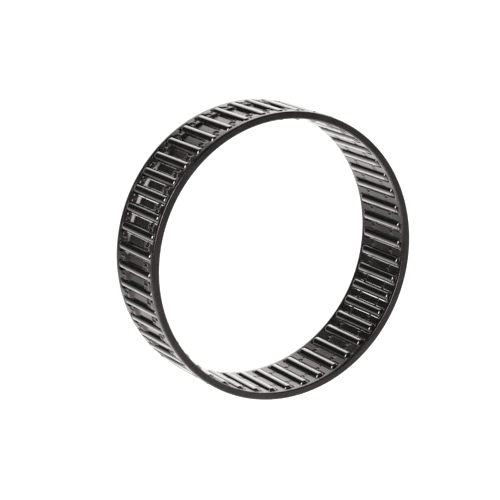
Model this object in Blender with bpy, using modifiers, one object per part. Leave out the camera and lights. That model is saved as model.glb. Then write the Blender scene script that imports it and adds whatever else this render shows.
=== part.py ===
"""Radial needle roller and cage assembly, 100 mm bore, 108 mm outside and 30 mm wide.

A steel cage holds one row of needle rollers. It has no rings of its own: the rollers run on the
shaft and in the housing. The frame is the bearing's own: the origin is on the axis at mid-width,
and +Z runs along the axis. Lengths are in metres and angles in radians.
"""

import math

import bmesh
import bpy
from mathutils import Matrix

# Driving dimensions.
INSIDE_DIAMETER = 0.100         # inside the ring of rollers: the shaft's raceway
OUTSIDE_DIAMETER = 0.108        # outside the ring of rollers: the housing's raceway
CAGE_WIDTH = 0.0298             # a nominal 30 mm, less its tolerance
CAGE_OUTER_RADIUS = 0.0537
CAGE_INNER_RADIUS = 0.0509
ROLLER_COUNT = 47
ROLLER_LENGTH = 0.0248
ROLLER_END_CHAMFER = 0.00035
ROLLER_SIDES = 12

RIM_CHAMFER = 0.0004            # on all four edges of the rims
RECESS_DEPTH = 0.00105          # the turned recess round the middle of the cage
RECESS_FLOOR_HALF = 0.00575     # from mid-width to the end of the recess's floor
RECESS_TOP_HALF = 0.0075        # from mid-width to the top of its sloped end

POCKET_SIDE_GAP = 0.00015       # between a roller and each long side of its pocket
POCKET_END_GAP = 0.0003         # between a roller and each end of its pocket
CUT_BEYOND = 0.0010             # how far a pocket's cutter runs past the cage's wall

# The lips at a pocket's long edges, which hold its roller in. A lip starts its rise below the
# surface of the cage, leans in by its overhang, and has its centre this far from mid-width.
LIP_LENGTH = 0.0026
OUTER_LIP = {"rise": 0.0009, "overhang": 0.00043, "centre": 0.0091}
INNER_LIP = {"rise": 0.0006, "overhang": 0.00028, "centre": 0.0063}

PITCH_RADIUS = (INSIDE_DIAMETER + OUTSIDE_DIAMETER) / 4
ROLLER_RADIUS = (OUTSIDE_DIAMETER - INSIDE_DIAMETER) / 4
PITCH_ANGLE = math.tau / ROLLER_COUNT
POCKET_HALF_WIDTH = ROLLER_RADIUS + POCKET_SIDE_GAP
POCKET_LENGTH = ROLLER_LENGTH + 2 * POCKET_END_GAP
STEPS_PER_PITCH = 2             # flats of the turned ring from one roller to the next
WELD = 1e-6


def clear_scene():
    for obj in list(bpy.data.objects):
        bpy.data.objects.remove(obj)


def new_collection(name):
    collection = bpy.data.collections.new(name)
    bpy.context.scene.collection.children.link(collection)
    return collection


def steel(name, colour, roughness):
    material = bpy.data.materials.new(name)
    material.use_nodes = True
    shader = material.node_tree.nodes["Principled BSDF"]
    shader.inputs["Base Color"].default_value = (*colour, 1)
    shader.inputs["Metallic"].default_value = 1
    shader.inputs["Roughness"].default_value = roughness
    return material


def new_object(name, mesh, collection):
    obj = bpy.data.objects.new(name, mesh)
    collection.objects.link(obj)
    return obj


def shade_round(mesh):
    mesh.shade_smooth()
    mesh.set_sharp_from_angle(angle=math.radians(30))


def cage_profile():
    """The cage's section as (radius, height), down its outer side and back up its inner side."""
    top = CAGE_WIDTH / 2
    face = top - RIM_CHAMFER
    floor = CAGE_OUTER_RADIUS - RECESS_DEPTH
    upper_outside = [
        (CAGE_OUTER_RADIUS - RIM_CHAMFER, top),
        (CAGE_OUTER_RADIUS, face),
        (CAGE_OUTER_RADIUS, RECESS_TOP_HALF),
        (floor, RECESS_FLOOR_HALF),
    ]
    lower_outside = [(radius, -height) for radius, height in reversed(upper_outside)]
    inside = [
        (CAGE_INNER_RADIUS + RIM_CHAMFER, -top),
        (CAGE_INNER_RADIUS, -face),
        (CAGE_INNER_RADIUS, face),
        (CAGE_INNER_RADIUS + RIM_CHAMFER, top),
    ]
    return upper_outside + lower_outside + inside


def turned_ring(name, profile, steps, collection):
    """A closed section at +X, turned about Z."""
    mesh = bpy.data.meshes.new(name)
    points = [(radius, 0, height) for radius, height in profile]
    edges = [(i, (i + 1) % len(points)) for i in range(len(points))]
    mesh.from_pydata(points, edges, [])
    ring = new_object(name, mesh, collection)
    screw = ring.modifiers.new("turn", "SCREW")
    screw.axis = "Z"
    screw.steps = steps
    screw.render_steps = steps
    screw.use_merge_vertices = True
    screw.merge_threshold = WELD
    return ring


def block(name, size, place, collection):
    """A box of this size, with its place as a matrix."""
    mesh = bpy.data.meshes.new(name)
    shape = bmesh.new()
    bmesh.ops.create_cube(shape, size=1, matrix=place @ Matrix.Diagonal((*size, 1)))
    shape.to_mesh(mesh)
    shape.free()
    return new_object(name, mesh, collection)


def lip_blocks(mouth_radius, outward, lip, collection):
    """Four blocks that are taken out of a pocket's cutter, so that the cut leaves its lips.

    A block's near face is the underside of a lip. It leans in from the pocket's side, where the
    lip starts, to the lip's tip at the mouth, and the rest of the block lies beyond that face.
    """
    slope = math.atan2(lip["overhang"], lip["rise"])
    size = (6 * lip["rise"], 4 * lip["rise"], LIP_LENGTH)
    tip_half_width = POCKET_HALF_WIDTH - lip["overhang"]
    blocks = []
    for side in (-1, 1):
        for end in (-1, 1):
            tip = (mouth_radius, side * tip_half_width, end * lip["centre"])
            lean = Matrix.Rotation(-side * outward * slope, 4, "Z")
            beyond = Matrix.Translation((0, side * size[1] / 2, 0))
            place = Matrix.Translation(tip) @ lean @ beyond
            blocks.append(block("lip_block", size, place, collection))
    return blocks


def evaluated_mesh(obj):
    """A new mesh of the object with its modifiers applied."""
    graph = bpy.context.evaluated_depsgraph_get()
    return bpy.data.meshes.new_from_object(obj.evaluated_get(graph))


def subtract(target, cutter):
    cut = target.modifiers.new("cut_" + cutter.name, "BOOLEAN")
    cut.operation = "DIFFERENCE"
    cut.solver = "EXACT"
    cut.object = cutter


def pocket_cutter(collection):
    """One pocket's space, at +X: a box with notches where the cage keeps its lips."""
    inner = CAGE_INNER_RADIUS - CUT_BEYOND
    outer = CAGE_OUTER_RADIUS + CUT_BEYOND
    size = (outer - inner, 2 * POCKET_HALF_WIDTH, POCKET_LENGTH)
    place = Matrix.Translation(((outer + inner) / 2, 0, 0))
    cutter = block("pocket", size, place, collection)
    lips = lip_blocks(CAGE_OUTER_RADIUS, 1, OUTER_LIP, collection)
    lips += lip_blocks(CAGE_INNER_RADIUS, -1, INNER_LIP, collection)
    for lip in lips:
        subtract(cutter, lip)
    return cutter


def all_pockets(collection):
    """Every pocket's space as one cutter, copied round the axis."""
    one = evaluated_mesh(pocket_cutter(collection))
    shape = bmesh.new()
    for index in range(ROLLER_COUNT):
        first_new = len(shape.verts)
        shape.from_mesh(one)
        shape.verts.ensure_lookup_table()
        turn = Matrix.Rotation(index * PITCH_ANGLE, 4, "Z")
        bmesh.ops.transform(shape, matrix=turn, verts=shape.verts[first_new:])
    mesh = bpy.data.meshes.new("pockets")
    shape.to_mesh(mesh)
    shape.free()
    return new_object("pockets", mesh, collection)


def hide_cutters(collection):
    for cutter in collection.objects:
        cutter.hide_render = True
        cutter.display_type = "WIRE"


def make_cage(parts, cutters, material):
    steps = STEPS_PER_PITCH * ROLLER_COUNT
    cage = turned_ring("cage", cage_profile(), steps, parts)
    subtract(cage, all_pockets(cutters))
    cage.data = evaluated_mesh(cage)
    cage.modifiers.clear()
    cage.data.materials.append(material)
    shade_round(cage.data)
    return cage


def roller_mesh(material):
    """A roller on its own axis, with chamfered ends."""
    mesh = bpy.data.meshes.new("roller")
    shape = bmesh.new()
    bmesh.ops.create_cone(
        shape,
        cap_ends=True,
        segments=ROLLER_SIDES,
        radius1=ROLLER_RADIUS,
        radius2=ROLLER_RADIUS,
        depth=ROLLER_LENGTH,
    )
    rims = [edge for edge in shape.edges if edge.verts[0].co.z * edge.verts[1].co.z > 0]
    bmesh.ops.bevel(
        shape, geom=rims, offset=ROLLER_END_CHAMFER, segments=1, affect="EDGES"
    )
    shape.to_mesh(mesh)
    shape.free()
    mesh.materials.append(material)
    shade_round(mesh)
    return mesh


def make_rollers(parts, cage, material):
    mesh = roller_mesh(material)
    for index in range(ROLLER_COUNT):
        angle = index * PITCH_ANGLE
        roller = new_object(f"roller_{index + 1:02d}", mesh, parts)
        roller.parent = cage
        roller.location = (PITCH_RADIUS * math.cos(angle), PITCH_RADIUS * math.sin(angle), 0)
        roller.rotation_euler = (0, 0, angle)


def main():
    clear_scene()
    parts = new_collection("needle_roller_bearing")
    cutters = new_collection("cutters")
    black_steel = steel("blackened_steel", (0.05, 0.046, 0.046), 0.4)
    ground_steel = steel("ground_steel", (0.56, 0.55, 0.54), 0.2)
    cage = make_cage(parts, cutters, black_steel)
    make_rollers(parts, cage, ground_steel)
    hide_cutters(cutters)


main()
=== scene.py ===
"""The looks of a needle roller and cage assembly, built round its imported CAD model.

The cage is one machined ring of blackened steel and the needles are ground steel. Both are made
again here as fine meshes, in the place and at the size of the CAD's. The frame is the CAD's: the
axis is Z, and the origin is at mid-width. Lengths are in metres and angles in radians.
"""

import math

import bmesh
import bpy
from mathutils import Matrix, Quaternion, Vector


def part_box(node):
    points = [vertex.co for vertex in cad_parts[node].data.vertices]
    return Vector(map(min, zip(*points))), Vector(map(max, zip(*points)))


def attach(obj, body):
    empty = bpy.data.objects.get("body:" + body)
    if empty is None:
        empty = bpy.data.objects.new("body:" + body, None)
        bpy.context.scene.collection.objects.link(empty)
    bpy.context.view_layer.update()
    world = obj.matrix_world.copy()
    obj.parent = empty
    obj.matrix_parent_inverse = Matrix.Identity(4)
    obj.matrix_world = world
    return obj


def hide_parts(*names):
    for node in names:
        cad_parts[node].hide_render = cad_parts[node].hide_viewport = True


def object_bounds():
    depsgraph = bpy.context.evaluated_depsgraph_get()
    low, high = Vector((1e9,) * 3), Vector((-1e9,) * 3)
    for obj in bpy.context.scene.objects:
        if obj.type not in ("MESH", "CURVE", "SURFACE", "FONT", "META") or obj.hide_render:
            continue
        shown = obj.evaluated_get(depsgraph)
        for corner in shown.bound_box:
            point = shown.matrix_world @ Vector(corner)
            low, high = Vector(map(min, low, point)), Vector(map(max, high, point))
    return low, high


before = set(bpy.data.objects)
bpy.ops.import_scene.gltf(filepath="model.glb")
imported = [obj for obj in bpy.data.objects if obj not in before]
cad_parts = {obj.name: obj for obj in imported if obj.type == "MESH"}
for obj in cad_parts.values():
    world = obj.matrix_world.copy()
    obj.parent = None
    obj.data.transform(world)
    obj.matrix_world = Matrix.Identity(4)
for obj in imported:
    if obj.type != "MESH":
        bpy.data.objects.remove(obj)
cad_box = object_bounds()

# Sizes that the CAD gives.
CAGE_LOW, CAGE_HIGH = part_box("cage")
NEEDLE_LOW, NEEDLE_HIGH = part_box("roller_01")
NEEDLE_NODES = sorted(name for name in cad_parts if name.startswith("roller_"))
OUTER_RADIUS = CAGE_HIGH.x
HALF_WIDTH = CAGE_HIGH.z
NEEDLE_RADIUS = (NEEDLE_HIGH.x - NEEDLE_LOW.x) / 2
NEEDLE_HALF_LENGTH = NEEDLE_HIGH.z
PITCH_RADIUS = (NEEDLE_HIGH.x + NEEDLE_LOW.x) / 2
PITCH_ANGLE = math.tau / len(NEEDLE_NODES)

# The cage's section.
WALL = 0.0028
INNER_RADIUS = OUTER_RADIUS - WALL
RIM_ROUNDING = 0.0004
RECESS_DEPTH = 0.00105
RECESS_FLOOR_HALF = 0.0051      # the recess's floor ends here, in a wide fillet
RECESS_TOP_HALF = 0.0075
RECESS_FILLET = 1.3             # over 1, the sloped end is steeper near its top

# The pockets.
POCKET_HALF_WIDTH = NEEDLE_RADIUS + 0.00015
POCKET_HALF_LENGTH = NEEDLE_HALF_LENGTH + 0.0003
CORNER_RADIUS = 0.00035
EDGE_BREAK = 0.0001             # the pockets' edges are broken by this much
EDGE_SOFTNESS = 0.3             # the break's middle line is this share of it from both faces

# A loose cage lies off the middle of its needles to one side, by about half of their play.
CAGE_SAG = 0.00007
SAG_AZIMUTH = math.radians(249)

# The punch marks beside the pockets. A mark's middle is at this height on both sides of mid-width
# and set back from the pocket's edge. The lip that it pushes out starts at its root, under the
# surface, and hangs over the needle.
OUTER_MARK = {
    "height": 0.0091,
    "length": 0.0030,
    "width": 0.00115,
    "depth": 0.00036,
    "setback": 0.00070,
    "overhang": 0.00043,
    "root": 0.00095,
}
INNER_MARK = {
    "height": 0.0063,
    "length": 0.0020,
    "width": 0.00078,
    "depth": 0.00020,
    "setback": 0.00047,
    "overhang": 0.00028,
    "root": 0.00065,
}
MARK_WALL = 0.45                # the share of a mark's half width that its steep wall takes
LIP_SHARE = 0.93                # a lip's length against its mark's

# The needles.
END_ROUNDING = 0.0008
END_CROWN = 0.00006
SHOULDER = 0.0003               # a line of points this far from the rounding keeps it crisp
END_STEPS = 7
NEEDLE_SIDES = 40

WELD = 1e-6

# The photographer's place: round the axis, above the cage's plane, and rolled about the view.
VIEW_AZIMUTH = math.radians(162.5)
VIEW_ELEVATION = math.radians(58.43)
VIEW_ROLL = math.radians(113.5)
VIEW_DISTANCE = 0.8344
VIEW_LENS = 162.8
SENSOR_WIDTH = 36.0
CLIP_START = 0.01
VIEW_OFFSET = Vector((-0.00563, -0.00049, 0))


def direction(azimuth, elevation):
    flat = math.cos(elevation)
    return Vector((flat * math.cos(azimuth), flat * math.sin(azimuth), math.sin(elevation)))


def smooth(value):
    """0 below 0, 1 above 1 and an S-curve between."""
    t = min(max(value, 0), 1)
    return t * t * (3 - 2 * t)


def stations(*stretches):
    """Places from 0 up. Each stretch is the place where it ends and its number of equal steps."""
    places = [0]
    for end, steps in stretches:
        start = places[-1]
        places += [start + (end - start) * (i + 1) / steps for i in range(steps)]
    return places


def both_ways(places):
    return [-place for place in reversed(places[1:])] + places


# Cage -------------------------------------------------------------------------------------------

# Heights of the rows of points along a pocket, the same number on both sides of the cage. They
# are closest where the marks and the recess's sloped ends are.
CORNER_START = POCKET_HALF_LENGTH - CORNER_RADIUS
SLOPE_START = 0.0049
OUTER_MARKS_END = 0.0107
INNER_MARKS_START = 0.0051
INNER_MARKS_END = 0.0075
OUTER_ROWS = both_ways(stations(
    (SLOPE_START, 1),
    (RECESS_TOP_HALF, 6),
    (OUTER_MARKS_END, 11),
    (CORNER_START, 2),
    (POCKET_HALF_LENGTH, 1),
))
INNER_ROWS = both_ways(stations(
    (INNER_MARKS_START, 4),
    (INNER_MARKS_END, 10),
    (CORNER_START, 6),
    (POCKET_HALF_LENGTH, 1),
))
# Columns across a pocket, as shares of the way from its middle to the start of its corner.
POCKET_COLUMNS = (-1, 0, 1)
RIM_STEPS = 1
ROUNDING_STEPS = 3


def outer_radius(height):
    run = (abs(height) - RECESS_FLOOR_HALF) / (RECESS_TOP_HALF - RECESS_FLOOR_HALF)
    rise = smooth(max(run, 0) ** RECESS_FILLET)
    return OUTER_RADIUS - RECESS_DEPTH * (1 - rise)


def mark_dent(from_edge, height, mark):
    """How deep a mark is at this distance from the pocket's edge.

    It's a flat notch, open to the pocket, with steep walls on its other sides.
    """
    straight = (mark["length"] - mark["width"]) / 2
    beyond = max(abs(abs(height) - mark["height"]) - straight, 0)
    across = max(from_edge - mark["setback"], 0)
    reach = math.hypot(beyond, across) / (mark["width"] / 2)
    return mark["depth"] * smooth((1 - reach) / MARK_WALL)


def lip_overhang(height, mark):
    """How far a lip leans over the pocket at its edge."""
    share = (abs(height) - mark["height"]) / (LIP_SHARE * mark["length"] / 2)
    return mark["overhang"] * max(1 - share * share, 0) ** 2


def bar_columns(radius, mark):
    """Places from a pocket's edge to the middle of its bar, as shares of the way."""
    start = EDGE_BREAK
    end = radius * PITCH_ANGLE / 2 - POCKET_HALF_WIDTH
    half = mark["width"] / 2
    wall = half * MARK_WALL
    offsets = (wall / 2 - half, wall - half, 0, half - wall, half)
    return [0] + [(mark["setback"] + offset - start) / (end - start) for offset in offsets] + [1]


class Side:
    """One side of the cage's wall: its radius, its rows, its columns and its marks."""

    def __init__(self, radius_at, rows, mark, outward):
        self.radius_at = radius_at
        self.rows = rows
        self.mark = mark
        self.outward = outward
        self.columns = bar_columns(radius_at(HALF_WIDTH), mark)

    def outline(self, row, offset):
        """The pocket's outline at a row, grown by offset, as (half width, height)."""
        height = self.rows[row]
        if row in (0, len(self.rows) - 1):
            reach = (CORNER_RADIUS + offset) * math.sqrt(0.5)
            end = math.copysign(CORNER_START + reach, height)
            return POCKET_HALF_WIDTH - CORNER_RADIUS + reach, end
        return POCKET_HALF_WIDTH + offset, height

    def point(self, across, height, depth):
        """A point this far from the pocket's middle plane, under the surface by depth."""
        radius = self.radius_at(height) - self.outward * depth
        angle = math.asin(across / radius)
        return Vector((radius * math.cos(angle), radius * math.sin(angle), height))

    def edge_point(self, row, sign, offset, depth):
        """A point on a pocket's long wall or its corner, with the notch and the lip's lean."""
        half, height = self.outline(row, offset)
        above_root = max(1 - depth / self.mark["root"], 0)
        lean = lip_overhang(height, self.mark) * above_root
        lowered = mark_dent(0, height, self.mark) * above_root
        return self.point(sign * (half - lean), height, depth + lowered)

    def end_point(self, share, sign, offset, depth):
        """A point on a pocket's short wall."""
        across = share * (POCKET_HALF_WIDTH - CORNER_RADIUS)
        return self.point(across, sign * (POCKET_HALF_LENGTH + offset), depth)

    def bar_point(self, row, sign, share):
        """A point on a bar, at a share of the way from the pocket's edge to its middle."""
        edge = self.edge_point(row, sign, EDGE_BREAK, 0)
        if share == 0:
            return edge
        height = self.rows[row]
        if row in (0, len(self.rows) - 1):
            height += math.copysign(EDGE_BREAK, height)
        radius = self.radius_at(height)
        near = math.asin((POCKET_HALF_WIDTH + EDGE_BREAK) / radius)
        half_pitch = PITCH_ANGLE / 2
        angle = near + (half_pitch - near) * share
        from_edge = (angle - near) * radius + EDGE_BREAK
        pulled = lip_overhang(height, self.mark) * max(1 - from_edge / self.mark["setback"], 0)
        angle -= pulled / radius
        radius -= self.outward * mark_dent(from_edge, height, self.mark)
        turn = sign * angle
        return Vector((radius * math.cos(turn), radius * math.sin(turn), height))


OUTSIDE = Side(outer_radius, OUTER_ROWS, OUTER_MARK, 1)
INSIDE = Side(lambda height: INNER_RADIUS, INNER_ROWS, INNER_MARK, -1)


class Sector:
    """The points and faces of one pocket with half a bar on each side, at +X."""

    def __init__(self):
        self.points = []
        self.wear = []
        self.faces = []

    def add(self, point, wear=0.0):
        self.points.append(point)
        self.wear.append(wear)
        return len(self.points) - 1

    def strip(self, first, second):
        """Faces between two lines of points."""
        for i in range(len(first) - 1):
            self.faces.append((first[i], first[i + 1], second[i + 1], second[i]))

    def net(self, lines):
        for first, second in zip(lines, lines[1:]):
            self.strip(first, second)


def bar_lines(sector, side):
    """Both half bars of a side, as {sign: lines of points along the pocket, from its edge}."""
    found = {}
    for sign in (-1, 1):
        lines = []
        for share in side.columns:
            worn = 1.0 if share == 0 else 0.0
            points = [side.bar_point(row, sign, share) for row in range(len(side.rows))]
            lines.append([sector.add(point, worn) for point in points])
        sector.net(lines)
        found[sign] = lines
    return found


def end_line(sector, side, sign):
    """The points at the surface along a pocket's short wall, without its corners."""
    return [
        sector.add(side.end_point(share, sign, EDGE_BREAK, 0), 1.0) for share in POCKET_COLUMNS
    ]


def across_line(bars, end, row):
    """One line of points right across the sector, at the end of the pocket."""
    left = [line[row] for line in reversed(bars[-1])]
    right = [line[row] for line in bars[1]]
    return left + end + right


def loop_of(sector, side, offset, depth, wear):
    """A closed loop of new points round the pocket, at this offset and depth."""
    last = len(side.rows) - 1
    up = [sector.add(side.edge_point(row, 1, offset, depth), wear) for row in range(last + 1)]
    down = [sector.add(side.edge_point(row, -1, offset, depth), wear) for row in range(last + 1)]
    top = [sector.add(side.end_point(share, 1, offset, depth), wear) for share in POCKET_COLUMNS]
    foot = [sector.add(side.end_point(share, -1, offset, depth), wear) for share in POCKET_COLUMNS]
    loop = up + top[::-1] + down[::-1] + foot
    return loop + [up[0]]


def surface_loop(bars, ends):
    """The loop round the pocket that the side's own points make."""
    loop = bars[1][0] + ends[1][::-1] + bars[-1][0][::-1] + ends[-1]
    return loop + [bars[1][0][0]]


def rim_points(sector, end_sign):
    """Lines across the sector from the outer surface over the rim to the inner one."""
    half_pitch = PITCH_ANGLE / 2
    outer_angle = math.asin((POCKET_HALF_WIDTH + EDGE_BREAK) / OUTER_RADIUS)
    corner_angle = math.asin((POCKET_HALF_WIDTH - CORNER_RADIUS) / OUTER_RADIUS)
    bar = [outer_angle + (half_pitch - outer_angle) * share for share in OUTSIDE.columns]
    pocket = [share * corner_angle for share in POCKET_COLUMNS]
    angles = [-angle for angle in reversed(bar)] + pocket + bar
    lines = []
    for radius, height, wear in rim_profile():
        points = [
            Vector((radius * math.cos(a), radius * math.sin(a), end_sign * height))
            for a in angles
        ]
        lines.append([sector.add(point, wear) for point in points])
    return lines


def rim_profile():
    """The section of a rim from its outer surface to its inner one, as (radius, height, wear)."""
    flat_top = HALF_WIDTH - RIM_ROUNDING
    near_end = POCKET_HALF_LENGTH + EDGE_BREAK
    rising = [
        near_end + (flat_top - near_end) * (i + 1) / (RIM_STEPS + 1) for i in range(RIM_STEPS)
    ]
    quarter = [math.pi / 2 * i / ROUNDING_STEPS for i in range(ROUNDING_STEPS + 1)]
    rounding = [
        (RIM_ROUNDING * math.cos(turn), RIM_ROUNDING * math.sin(turn)) for turn in quarter
    ]
    outside = [(OUTER_RADIUS, height, 0.0) for height in rising]
    outside += [
        (OUTER_RADIUS - RIM_ROUNDING + out, flat_top + up, 1.0) for out, up in rounding
    ]
    inside = [(INNER_RADIUS, height, 0.0) for height in rising]
    inside += [
        (INNER_RADIUS + RIM_ROUNDING - out, flat_top + up, 1.0) for out, up in rounding
    ]
    margin = RIM_ROUNDING / 2
    face = [
        (OUTER_RADIUS - RIM_ROUNDING - margin, HALF_WIDTH, 0.0),
        (INNER_RADIUS + RIM_ROUNDING + margin, HALF_WIDTH, 0.0),
    ]
    return outside + face + inside[::-1]


def pocket_walls(sector, outer_loop, inner_loop):
    """The pocket's wall, from the outer surface over a broken edge and down to the inner one."""
    soft = EDGE_SOFTNESS * EDGE_BREAK
    loops = [
        outer_loop,
        loop_of(sector, OUTSIDE, soft, soft, 1.0),
        loop_of(sector, OUTSIDE, 0, EDGE_BREAK, 1.0),
        loop_of(sector, OUTSIDE, 0, OUTER_MARK["root"], 0.0),
        loop_of(sector, INSIDE, 0, INNER_MARK["root"], 0.0),
        loop_of(sector, INSIDE, 0, EDGE_BREAK, 1.0),
        inner_loop,
    ]
    sector.net(loops)


def cage_sector():
    sector = Sector()
    loops = []
    across = []
    for side in (OUTSIDE, INSIDE):
        bars = bar_lines(sector, side)
        ends = {sign: end_line(sector, side, sign) for sign in (-1, 1)}
        loops.append(surface_loop(bars, ends))
        across.append({1: across_line(bars, ends[1], -1), -1: across_line(bars, ends[-1], 0)})
    pocket_walls(sector, *loops)
    for sign in (-1, 1):
        sector.net([across[0][sign]] + rim_points(sector, sign) + [across[1][sign]])
    return sector


def cage_mesh():
    """Every sector in its place, welded into one closed mesh."""
    sector = cage_sector()
    count = len(sector.points)
    sag = CAGE_SAG * direction(SAG_AZIMUTH, 0)
    points = []
    faces = []
    for index in range(len(NEEDLE_NODES)):
        turn = Matrix.Rotation(index * PITCH_ANGLE, 3, "Z")
        points += [turn @ point + sag for point in sector.points]
        faces += [[vertex + index * count for vertex in face] for face in sector.faces]
    mesh = bpy.data.meshes.new("cage_machined")
    mesh.from_pydata(points, [], faces)
    wear = mesh.attributes.new("worn_edge", "FLOAT", "POINT")
    wear.data.foreach_set("value", sector.wear * len(NEEDLE_NODES))
    shape = bmesh.new()
    shape.from_mesh(mesh)
    bmesh.ops.remove_doubles(shape, verts=shape.verts, dist=WELD)
    bmesh.ops.recalc_face_normals(shape, faces=shape.faces)
    shape.to_mesh(mesh)
    shape.free()
    mesh.shade_smooth()
    return mesh


# Needles ----------------------------------------------------------------------------------------

def needle_profile():
    """Half of a needle's section, from the middle of its end to its side, as (radius, height)."""
    flat = NEEDLE_RADIUS - END_ROUNDING
    crown = [
        (flat * share, NEEDLE_HALF_LENGTH - END_CROWN * share * share) for share in (0.5, 1)
    ]
    rounding = []
    for i in range(1, END_STEPS + 1):
        turn = math.pi / 2 * i / END_STEPS
        radius = flat + END_ROUNDING * math.sin(turn)
        rise = (END_ROUNDING - END_CROWN) * math.cos(turn)
        rounding.append((radius, NEEDLE_HALF_LENGTH - END_ROUNDING + rise))
    side = [(NEEDLE_RADIUS, NEEDLE_HALF_LENGTH - END_ROUNDING - SHOULDER)]
    return crown + rounding + side


def needle_mesh():
    profile = needle_profile()
    rings = profile + [(radius, -height) for radius, height in reversed(profile)]
    shape = bmesh.new()
    lines = []
    for radius, height in rings:
        line = []
        for i in range(NEEDLE_SIDES):
            turn = math.tau * i / NEEDLE_SIDES
            point = (radius * math.cos(turn), radius * math.sin(turn), height)
            line.append(shape.verts.new(point))
        lines.append(line)
    for first, second in zip(lines, lines[1:]):
        for i in range(NEEDLE_SIDES):
            after = (i + 1) % NEEDLE_SIDES
            shape.faces.new((first[i], second[i], second[after], first[after]))
    for line, height in ((lines[0], NEEDLE_HALF_LENGTH), (lines[-1], -NEEDLE_HALF_LENGTH)):
        tip = shape.verts.new((0, 0, height))
        for i in range(NEEDLE_SIDES):
            shape.faces.new((line[i], line[(i + 1) % NEEDLE_SIDES], tip))
    bmesh.ops.recalc_face_normals(shape, faces=shape.faces)
    mesh = bpy.data.meshes.new("needle")
    shape.to_mesh(mesh)
    shape.free()
    place = mesh.attributes.new("needle_place", "FLOAT_VECTOR", "POINT")
    for vertex, value in zip(mesh.vertices, place.data):
        value.vector = vertex.co
    mesh.shade_smooth()
    return mesh


# Materials --------------------------------------------------------------------------------------

# How fine each pattern is, as the scale of its noise.
BROWNING = 45.0
CLOUDS = 120.0
CHAFING = 900.0
MOTTLE = 1300.0
GRAIN = 2600.0
TURNED_LINES = 5200.0
NEEDLE_CLOUDS = 260.0
NEEDLE_POLISH = 900.0
NEEDLE_CHAFING = 1500.0
GROUND_LINES = 6500.0
FLOOR_CLOUDS = 3.0

# How deep the bumps are.
TURNED_DEPTH = 0.000008
GRAIN_DEPTH = 0.000010
GROUND_DEPTH = 0.000002

# Colours. Where there are two, the finish varies between them.
OXIDE_DARK = (0.140, 0.118, 0.120)
OXIDE_LIGHT = (0.215, 0.183, 0.186)
OXIDE_BROWN = (0.215, 0.160, 0.145, 1)
OXIDE_WORN = (0.38, 0.36, 0.35, 1)
GROUND_DARK = (0.47, 0.455, 0.445)
GROUND_LIGHT = (0.59, 0.575, 0.565)
GROUND_WORN = (0.66, 0.645, 0.63, 1)
WHITE = (1, 1, 1, 1)


def add_node(tree, kind, inputs=None, **settings):
    """A new node with its settings, and with its inputs set to numbers or linked to sockets."""
    node = tree.nodes.new(kind)
    for name, value in settings.items():
        setattr(node, name, value)
    for name, value in (inputs or {}).items():
        if isinstance(value, bpy.types.NodeSocket):
            tree.links.new(value, node.inputs[name])
        else:
            node.inputs[name].default_value = value
    return node


def maths(tree, operation, first, second=0.0):
    inputs = {0: first, 1: second}
    return add_node(tree, "ShaderNodeMath", inputs, operation=operation).outputs[0]


def noise(tree, vector, scale, detail=4.0, roughness=0.55):
    inputs = {"Vector": vector, "Scale": scale, "Detail": detail, "Roughness": roughness}
    return add_node(tree, "ShaderNodeTexNoise", inputs).outputs["Fac"]


def ramp(tree, factor, *stops):
    """Colours or greys along a factor. A stop is its place and its colour or grey."""
    node = add_node(tree, "ShaderNodeValToRGB", {"Fac": factor})
    elements = node.color_ramp.elements
    while len(elements) < len(stops):
        elements.new(0.5)
    for element, (place, colour) in zip(elements, stops):
        element.position = place
        shade = colour if isinstance(colour, tuple) else (colour,) * 3
        element.color = (*shade, 1)
    return node.outputs["Color"]


def mix(tree, factor, first, second):
    inputs = {"Factor": factor, 6: first, 7: second}
    node = add_node(tree, "ShaderNodeMix", data_type="RGBA")
    for name, value in inputs.items():
        if isinstance(value, bpy.types.NodeSocket):
            tree.links.new(value, node.inputs[name])
        else:
            node.inputs[name].default_value = value
    return node.outputs[2]


def round_axis(tree, vector):
    """Places as (distance from the Z axis, height, 0), so that a pattern runs round the axis."""
    parts = add_node(tree, "ShaderNodeSeparateXYZ", {"Vector": vector})
    flat = add_node(tree, "ShaderNodeVectorMath", {0: vector, 1: (1, 1, 0)}, operation="MULTIPLY")
    length = add_node(tree, "ShaderNodeVectorMath", {0: flat.outputs[0]}, operation="LENGTH")
    inputs = {"X": length.outputs["Value"], "Y": parts.outputs["Z"]}
    return add_node(tree, "ShaderNodeCombineXYZ", inputs).outputs["Vector"]


def bump(tree, height, distance, strength, normal=None):
    inputs = {"Height": height, "Distance": distance, "Strength": strength}
    if normal is not None:
        inputs["Normal"] = normal
    return add_node(tree, "ShaderNodeBump", inputs).outputs["Normal"]


def new_metal(name):
    material = bpy.data.materials.new(name)
    material.use_nodes = True
    shader = material.node_tree.nodes["Principled BSDF"]
    shader.inputs["Metallic"].default_value = 1.0
    return material, material.node_tree, shader


def connect(tree, shader, **sockets):
    for name, socket in sockets.items():
        tree.links.new(socket, shader.inputs[name.replace("_", " ")])


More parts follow.
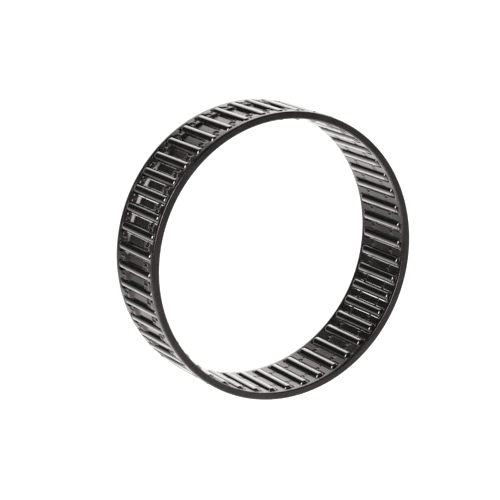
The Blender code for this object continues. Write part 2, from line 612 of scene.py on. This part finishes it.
def blackened_steel():
    """Turned steel with a black oxide finish, a little brown in places and worn at its edges."""
    material, tree, shader = new_metal("blackened_steel")
    place = add_node(tree, "ShaderNodeTexCoord").outputs["Object"]
    turned = round_axis(tree, place)
    broad = noise(tree, place, CLOUDS)
    grain = noise(tree, place, GRAIN, detail=2.0)
    lines = noise(tree, turned, TURNED_LINES, detail=3.0, roughness=0.7)
    mottle = maths(tree, "ADD", broad, noise(tree, place, MOTTLE, detail=3.0))
    tone = maths(tree, "MULTIPLY", mottle, 0.5)
    finish = ramp(tree, tone, (0.36, OXIDE_DARK), (0.62, OXIDE_LIGHT))
    brown = ramp(tree, noise(tree, place, BROWNING, detail=2.0), (0.52, 0.0), (0.75, 0.6))
    finish = mix(tree, brown, finish, OXIDE_BROWN)
    edge = add_node(tree, "ShaderNodeAttribute", attribute_name="worn_edge").outputs["Fac"]
    chafed = ramp(tree, noise(tree, place, CHAFING), (0.48, 0.0), (0.66, 0.45))
    worn = maths(tree, "MULTIPLY", edge, chafed)
    colour = mix(tree, worn, finish, OXIDE_WORN)
    rough = ramp(tree, broad, (0.25, 0.18), (0.75, 0.32))
    fine = bump(tree, lines, TURNED_DEPTH, 0.2)
    relief = bump(tree, grain, GRAIN_DEPTH, 0.18, fine)
    connect(tree, shader, Base_Color=colour, Roughness=rough, Normal=relief)
    shader.inputs["Metallic"].default_value = 0.97
    shader.inputs["Coat Weight"].default_value = 0.6
    shader.inputs["Coat Roughness"].default_value = 0.25
    return material


def ground_steel():
    """Hardened steel, ground and lapped round its axis, and a little worn at its ends."""
    material, tree, shader = new_metal("ground_steel")
    place = add_node(tree, "ShaderNodeAttribute", attribute_name="needle_place").outputs["Vector"]
    turned = round_axis(tree, place)
    own = add_node(tree, "ShaderNodeObjectInfo").outputs["Random"]
    shift = add_node(tree, "ShaderNodeCombineXYZ", {"Z": own}).outputs["Vector"]
    shifted = add_node(tree, "ShaderNodeVectorMath", {0: place, 1: shift}).outputs[0]
    lines = noise(tree, turned, GROUND_LINES, detail=2.0, roughness=0.7)
    clouds = noise(tree, shifted, NEEDLE_CLOUDS, detail=3.0)
    ground = ramp(tree, clouds, (0.30, GROUND_DARK), (0.70, GROUND_LIGHT))
    height = add_node(tree, "ShaderNodeSeparateXYZ", {"Vector": place}).outputs["Z"]
    rounding = {
        "Value": maths(tree, "ABSOLUTE", height),
        "From Min": NEEDLE_HALF_LENGTH - 2 * END_ROUNDING,
        "From Max": NEEDLE_HALF_LENGTH - END_ROUNDING / 2,
    }
    end = add_node(tree, "ShaderNodeMapRange", rounding).outputs["Result"]
    chafed = ramp(tree, noise(tree, shifted, NEEDLE_CHAFING), (0.42, 0.0), (0.62, 0.7))
    worn = maths(tree, "MULTIPLY", end, chafed)
    colour = mix(tree, worn, ground, GROUND_WORN)
    polish = ramp(tree, noise(tree, shifted, NEEDLE_POLISH), (0.25, 0.10), (0.75, 0.18))
    rough = maths(tree, "ADD", polish, maths(tree, "MULTIPLY", worn, 0.08))
    relief = bump(tree, lines, GROUND_DEPTH, 0.3)
    connect(tree, shader, Base_Color=colour, Roughness=rough, Normal=relief)
    return material


def pale_floor():
    material = bpy.data.materials.new("pale_floor")
    material.use_nodes = True
    tree = material.node_tree
    shader = tree.nodes["Principled BSDF"]
    place = add_node(tree, "ShaderNodeTexCoord").outputs["Object"]
    colour = ramp(tree, noise(tree, place, FLOOR_CLOUDS), (0.3, 0.80), (0.7, 0.82))
    connect(tree, shader, Base_Color=colour)
    shader.inputs["Roughness"].default_value = 0.9
    shader.inputs["Emission Color"].default_value = WHITE
    shader.inputs["Emission Strength"].default_value = 0.95
    return material


# Pieces -----------------------------------------------------------------------------------------

def new_piece(name, mesh, material, node):
    """A visible piece that stands for a CAD node."""
    piece = bpy.data.objects.new(name, mesh)
    bpy.context.scene.collection.objects.link(piece)
    if not mesh.materials:
        mesh.materials.append(material)
    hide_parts(node)
    return piece


def make_cage():
    piece = new_piece("cage_machined", cage_mesh(), blackened_steel(), "cage")
    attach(piece, "cage")


def make_needles():
    mesh = needle_mesh()
    material = ground_steel()
    for index, node in enumerate(NEEDLE_NODES):
        piece = new_piece(f"{node}_ground", mesh, material, node)
        angle = index * PITCH_ANGLE
        piece.location = (PITCH_RADIUS * math.cos(angle), PITCH_RADIUS * math.sin(angle), 0)
        piece.rotation_euler = (0, 0, angle)
        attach(piece, node)


# Studio -----------------------------------------------------------------------------------------

FLOOR_HALF = 12.0

# The lamp, as seen from the origin.
LAMP_AZIMUTH = math.radians(250)
LAMP_ELEVATION = math.radians(70)
LAMP_DISTANCE = 1.1
LAMP_SIZE = (0.9, 0.6)
LAMP_RADIANCE = 2.0

# The surroundings that the steel mirrors. Each has its middle's azimuth and elevation in degrees,
# how far from there it's full, how far it reaches, and its light, against 1 for white.
BACKDROP = {"azimuth": 55, "elevation": -48, "full": 0, "reach": 36, "light": 1.35}
WALL = {"azimuth": 283, "elevation": -5, "full": 34, "reach": 90, "light": 0.75}
TABLE = {"azimuth": 285, "elevation": -60, "full": 4, "reach": 23, "light": 0.58}
BEYOND = {"azimuth": 350, "elevation": -60, "full": 10, "reach": 32, "light": 0.55}
UNDERNEATH = {"azimuth": 0, "elevation": -90, "full": 5, "reach": 23, "light": 0.75}
SCREEN = {"azimuth": 26, "elevation": 0, "full": 22, "reach": 44, "light": 1.3}
SOFTBOX = {"azimuth": 165, "elevation": 10, "full": 12, "reach": 28, "light": 3.0}
OVERHEAD = {"azimuth": 342, "elevation": 58, "full": 10, "reach": 40, "light": 0.05}
SURROUNDINGS = (BACKDROP, WALL, TABLE, BEYOND, UNDERNEATH, SCREEN, SOFTBOX, OVERHEAD)
ROOM_LIGHT = 0.015


def make_floor():
    mesh = bpy.data.meshes.new("floor")
    shape = bmesh.new()
    bmesh.ops.create_grid(shape, x_segments=1, y_segments=1, size=FLOOR_HALF)
    shape.to_mesh(mesh)
    shape.free()
    mesh.materials.append(pale_floor())
    floor = bpy.data.objects.new("floor", mesh)
    bpy.context.scene.collection.objects.link(floor)
    floor.location.z = cad_box[0].z
    floor.visible_glossy = False
    floor.visible_shadow = False


def glow(tree, way, azimuth, elevation, full, reach, light):
    """Light from round one direction, which fades between two angles from it."""
    middle = tuple(direction(math.radians(azimuth), math.radians(elevation)))
    facing = add_node(tree, "ShaderNodeVectorMath", {0: way, 1: middle}, operation="DOT_PRODUCT")
    inputs = {
        "Value": facing.outputs["Value"],
        "From Min": math.cos(math.radians(reach)),
        "From Max": math.cos(math.radians(full)),
        "To Min": 0.0,
        "To Max": light,
    }
    fade = add_node(tree, "ShaderNodeMapRange", inputs, interpolation_type="SMOOTHSTEP")
    return fade.outputs["Result"]


def make_world():
    """Lit and dim surroundings for the steel to mirror, and white behind everything in view."""
    world = bpy.data.worlds.new("studio")
    bpy.context.scene.world = world
    world.use_nodes = True
    tree = world.node_tree
    sky = tree.nodes["Background"]
    way = add_node(tree, "ShaderNodeTexCoord").outputs["Generated"]
    light = ROOM_LIGHT
    for part in SURROUNDINGS:
        light = maths(tree, "ADD", glow(tree, way, **part), light)
    seen = add_node(tree, "ShaderNodeLightPath").outputs["Is Camera Ray"]
    tree.links.new(maths(tree, "MAXIMUM", light, seen), sky.inputs["Strength"])
    sky.inputs["Color"].default_value = WHITE


def make_light():
    """A rectangular soft box that faces the origin. The steel doesn't mirror it."""
    lamp = bpy.data.lights.new("top_softbox", "AREA")
    lamp.shape = "RECTANGLE"
    lamp.size, lamp.size_y = LAMP_SIZE
    lamp.energy = LAMP_RADIANCE * math.pi * math.prod(LAMP_SIZE)
    light = bpy.data.objects.new("top_softbox", lamp)
    bpy.context.scene.collection.objects.link(light)
    way = direction(LAMP_AZIMUTH, LAMP_ELEVATION)
    light.location = way * LAMP_DISTANCE
    light.rotation_mode = "QUATERNION"
    light.rotation_quaternion = way.to_track_quat("Z", "Y")
    light.visible_glossy = False


def make_camera():
    camera_data = bpy.data.cameras.new("camera")
    camera_data.lens = VIEW_LENS
    camera_data.sensor_width = SENSOR_WIDTH
    camera_data.clip_start = CLIP_START
    camera = bpy.data.objects.new("camera", camera_data)
    bpy.context.scene.collection.objects.link(camera)
    back = direction(VIEW_AZIMUTH, VIEW_ELEVATION)
    upright = back.to_track_quat("Z", "Y")
    turn = upright @ Quaternion((0, 0, 1), VIEW_ROLL)
    camera.rotation_mode = "QUATERNION"
    camera.rotation_quaternion = turn
    camera.location = back * VIEW_DISTANCE + turn @ VIEW_OFFSET
    bpy.context.scene.camera = camera


make_cage()
make_needles()
make_floor()
make_world()
make_light()
make_camera()
bpy.context.scene.view_settings.view_transform = "Standard"
